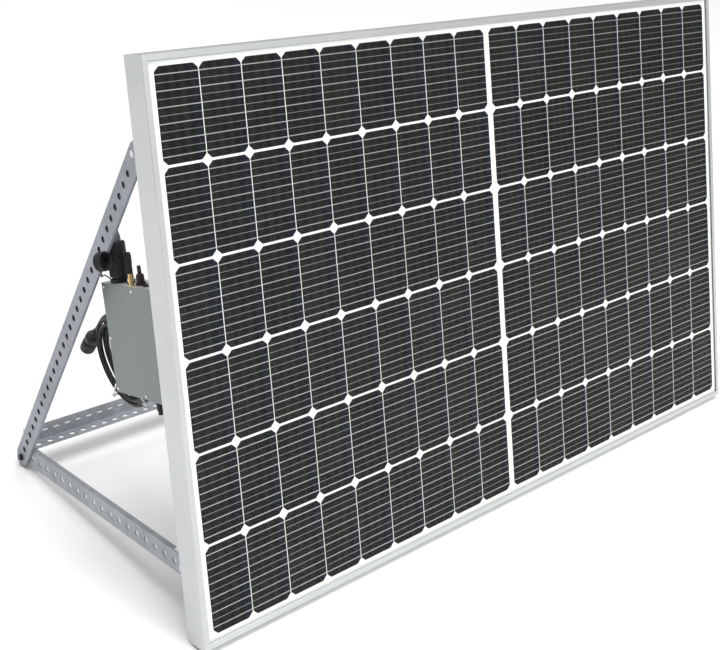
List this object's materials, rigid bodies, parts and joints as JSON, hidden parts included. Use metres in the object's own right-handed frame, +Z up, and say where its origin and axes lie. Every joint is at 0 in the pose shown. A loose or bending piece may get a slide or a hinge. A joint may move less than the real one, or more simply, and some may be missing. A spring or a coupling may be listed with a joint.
{
  "type": "solar panel",
  "caption": "Framed solar panel leaning on a folding perforated-steel prop stand, with a micro-inverter box and a coiled AC lead behind its left edge.",
  "frame": {"origin": "on the ground, under the middle of the panel's length and halfway from its front edge to its rear feet", "axes": "+Z up, +X along the panel's long side, -Y the way the glass faces"},
  "size_m": [1.743, 0.8257, 1.1191],
  "materials": {
    "anodised_frame": "satin anodised, brushed along its length",
    "corner_key": "mill finish",
    "solar_glass": "smooth tempered glass with an anti-glare coat",
    "encapsulant": "clear film",
    "ribbon": "tinned wire",
    "cell": "blue-black silicon with fine silver fingers",
    "backsheet": "white film",
    "seal": "black tape",
    "black_plastic": "fine moulded texture",
    "galvanised_steel": "zinc-coated, faint spangle",
    "zinc_fastener": "bright zinc",
    "box_sheet": "grey powder coat",
    "box_cover": "grey sheet, satin",
    "board": "green laminate",
    "components": "resin and film",
    "heat_sink": "black-grey extrusion",
    "brass": "gold-plated thread",
    "dark_red_plastic": "moulded",
    "rubber_strap": "soft moulded",
    "cable_jacket": "satin cable jacket",
    "tie": "white nylon"
  },
  "bodies": {
    "root": {"ac_cord_hank": "cable_jacket", "ac_cord_lead_in": "cable_jacket", "ac_cord_tail": "cable_jacket", "ac_gland_nut": "black_plastic", "ac_lead_contacts": "brass", "ac_lead_plug": "black_plastic", "ac_plug_body": "black_plastic", "ac_socket": "black_plastic", "antenna_connector": "brass", "backsheet": "backsheet", "board_standoffs": "brass", "bracket_screws": "zinc_fastener", "bus_connector": "dark_red_plastic", "bypass_diodes": "components", "cable_ties": "tie", "cap_strap": "rubber_strap", "cap_strap_ring": "rubber_strap", "capacitors": "components", "cell_ribbons": "ribbon", "circuit_board": "board", "clip_screws": "zinc_fastener", "cord_gland": "black_plastic", "corner_keys": "corner_key", "cover_screws": "zinc_fastener", "dc_inlet_minus": "black_plastic", "dc_inlet_plus": "dark_red_plastic", "dust_cap": "rubber_strap", "edge_seal": "seal", "frame_bottom_rail": "anodised_frame", "frame_left_rail": "anodised_frame", "frame_right_rail": "anodised_frame", "frame_top_rail": "anodised_frame", "front_encapsulant": "encapsulant", "front_glass": "solar_glass", "heat_sink": "heat_sink", "inverter_bracket": "galvanised_steel", "inverter_cover": "box_cover", "inverter_housing": "box_sheet", "junction_box_bodies": "black_plastic", "junction_box_lids": "black_plastic", "left_hinge_bolts": "zinc_fastener", "left_lower_clip": "galvanised_steel", "left_upper_clip": "galvanised_steel", "rear_encapsulant": "encapsulant", "right_hinge_bolts": "zinc_fastener", "right_lower_clip": "galvanised_steel", "right_upper_clip": "galvanised_steel", "signal_connector": "black_plastic", "solar_cells": "cell", "transformer": "components", "vent_plug": "black_plastic"},
    "base_frame": {"left_base_bar": "galvanised_steel", "right_base_bar": "galvanised_steel", "rear_rail": "galvanised_steel", "rail_bolts": "zinc_fastener"},
    "left_strut": {"left_strut": "galvanised_steel", "left_foot_bolt": "zinc_fastener"},
    "right_strut": {"right_strut": "galvanised_steel", "right_foot_bolt": "zinc_fastener"},
    "ac_coupling_ring": {"ac_coupling_ring": "black_plastic"}
  },
  "joints": [
    {"name": "base_frame_hinge", "type": "hinge", "parent": "root", "child": "base_frame", "pos_m": [0, -0.29552, 0.12509], "axis": [1, 0, 0], "range_deg": [0, 52]},
    {"name": "left_strut_hinge", "type": "hinge", "parent": "root", "child": "left_strut", "pos_m": [-0.84, -0.11576, 0.92207], "axis": [1, 0, 0], "range_deg": [-37, 0], "deforming": ["cap_strap", "dust_cap"]},
    {"name": "right_strut_hinge", "type": "hinge", "parent": "root", "child": "right_strut", "pos_m": [0.84, -0.11576, 0.92207], "axis": [1, 0, 0], "range_deg": [-37, 0]},
    {"name": "ac_coupling_ring_turn", "type": "hinge", "parent": "root", "child": "ac_coupling_ring", "pos_m": [-0.797, 0.02394, 0.63406], "axis": [0, 0.2792, 0.9602], "range_deg": [-30, 30]}
  ]
}
